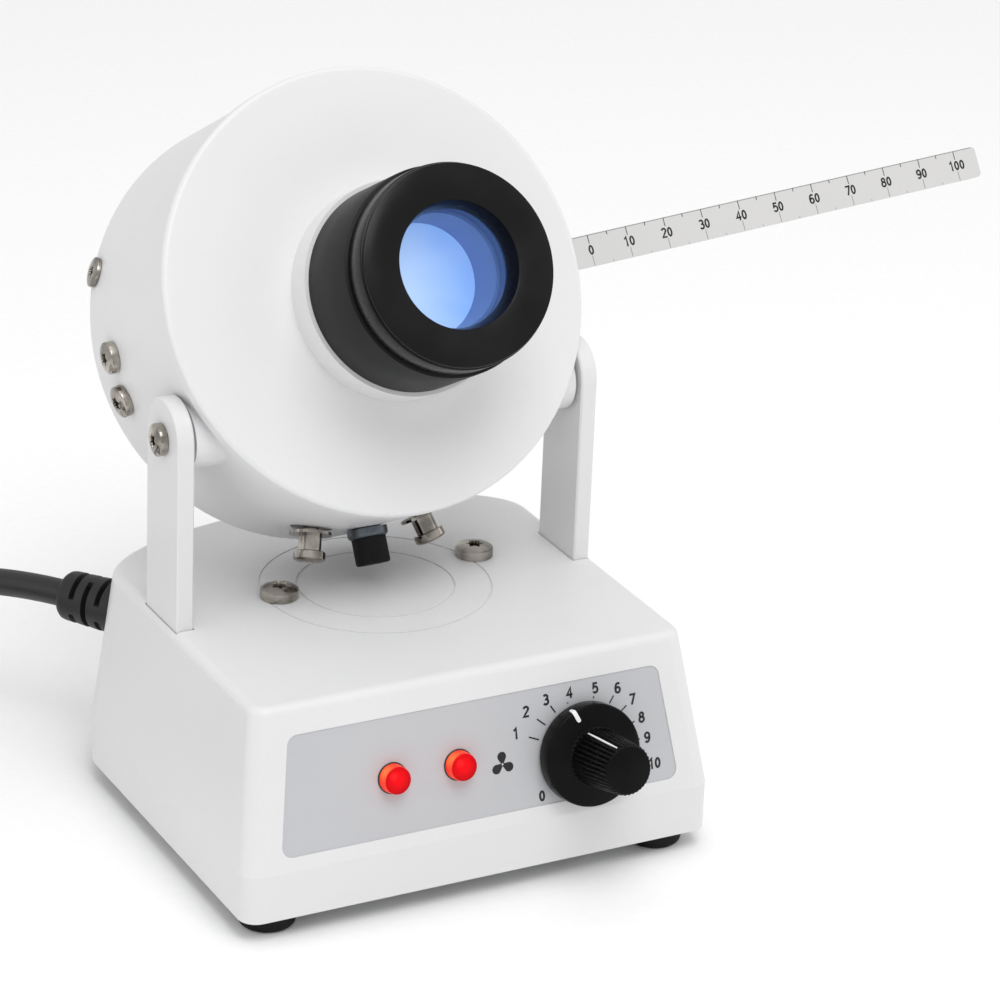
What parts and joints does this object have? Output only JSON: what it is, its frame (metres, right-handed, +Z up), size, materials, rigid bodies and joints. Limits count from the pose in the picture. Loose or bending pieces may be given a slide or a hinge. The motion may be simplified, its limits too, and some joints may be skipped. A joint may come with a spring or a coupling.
{
  "type": "melting point apparatus",
  "caption": "Bench melting point apparatus: tapered base with dial and pilot lamps, drum-shaped heating head tilting between two arms, magnifying eyepiece and side thermometer.",
  "frame": {"origin": "bottom centre of the box round the object without its mains lead, on the plane that the feet stand on", "axes": "+Z up, -Y towards the user (control panel and eyepiece), +X to the user's right, where the thermometer stands out"},
  "size_m": [0.5309, 0.2765, 0.2334],
  "materials": {
    "white_paint": "fine textured powder coat, off-white",
    "panel_grey": "satin light grey",
    "black_rubber": "matt black",
    "satin_black": "satin black",
    "gloss_black": "glossy black moulding",
    "nickel": "dark nickel plate",
    "red_lens": "glowing translucent red",
    "lens_glass": "blue coated glass",
    "clear_glass": "clear glass",
    "strip_aluminium": "satin anodised with dark figures",
    "bare_aluminium": "machined",
    "zinc_steel": "zinc plated",
    "ceramic": "unglazed ceramic and heat-proof white plastic",
    "dark_plastic": "black moulding",
    "fibre": "vulcanised fibre",
    "copper_winding": "enamelled copper wire",
    "board_green": "printed circuit board"
  },
  "bodies": {
    "base": {"base_housing": "white_paint", "bottom_plate": "zinc_steel", "foot_front_left": "black_rubber", "foot_front_right": "black_rubber", "foot_rear_left": "black_rubber", "foot_rear_right": "black_rubber", "foot_screws": "nickel", "control_panel": "panel_grey", "pilot_lens_left": "red_lens", "pilot_body_left": "dark_plastic", "pilot_lens_right": "red_lens", "pilot_body_right": "dark_plastic", "potentiometer": "dark_plastic", "left_arm": "white_paint", "right_arm": "white_paint", "arm_crossbar": "zinc_steel", "top_screws": "nickel", "pivot_screws": "nickel", "friction_washers": "fibre", "transformer_core": "zinc_steel", "transformer_winding": "copper_winding", "regulator_board": "board_green", "board_standoffs": "zinc_steel", "fan_frame": "dark_plastic", "terminal_block": "dark_plastic", "strain_relief": "black_rubber", "mains_lead": "black_rubber", "lead_coil": "black_rubber", "lead_tail": "black_rubber", "mains_plug": "black_rubber", "plug_pins": "nickel"},
    "head": {"drum_shell": "white_paint", "front_cover": "white_paint", "rear_cover": "white_paint", "eyepiece_collar": "white_paint", "eyepiece_barrel": "satin_black", "heating_block": "bare_aluminium", "heater_cartridges": "zinc_steel", "capillary_guide": "ceramic", "block_saddle": "bare_aluminium", "ceramic_pillar": "ceramic", "lamp_bracket": "bare_aluminium", "sighting_lamp": "clear_glass", "side_screws": "nickel", "rear_cover_screws": "nickel", "under_screws": "nickel", "under_collars": "nickel", "bushing_flange": "nickel", "cable_bushing": "satin_black"},
    "eyepiece": {"eye_ring": "satin_black", "eye_lens": "lens_glass", "lens_retainer": "satin_black"},
    "knob": {"control_knob": "gloss_black", "knob_shaft": "nickel"},
    "thermometer": {"thermometer": "strip_aluminium"},
    "fan_rotor": {"fan_rotor": "dark_plastic"}
  },
  "joints": [
    {"name": "head_tilt", "type": "hinge", "parent": "base", "child": "head", "pos_m": [-0.07451, 0.00623, 0.1334], "axis": [1, 0, 0], "range_deg": [-4, 32]},
    {"name": "eyepiece_focus", "type": "slide", "parent": "head", "child": "eyepiece", "axis": [0, -0.8729, 0.4879], "range_m": [0, 0.008]},
    {"name": "thermometer_slide", "type": "slide", "parent": "head", "child": "thermometer", "axis": [0.9973, 0.0357, 0.0639], "range_m": [0, 0.03]},
    {"name": "knob_turn", "type": "hinge", "parent": "base", "child": "knob", "pos_m": [-0.03821, -0.07342, 0.04122], "axis": [0, -0.9743, 0.2251], "range_deg": [-126, 104]},
    {"name": "fan_spin", "type": "hinge", "parent": "base", "child": "fan_rotor", "pos_m": [-0.10651, 0.03433, 0.012], "axis": [0, 0, 1], "continuous": true}
  ]
}
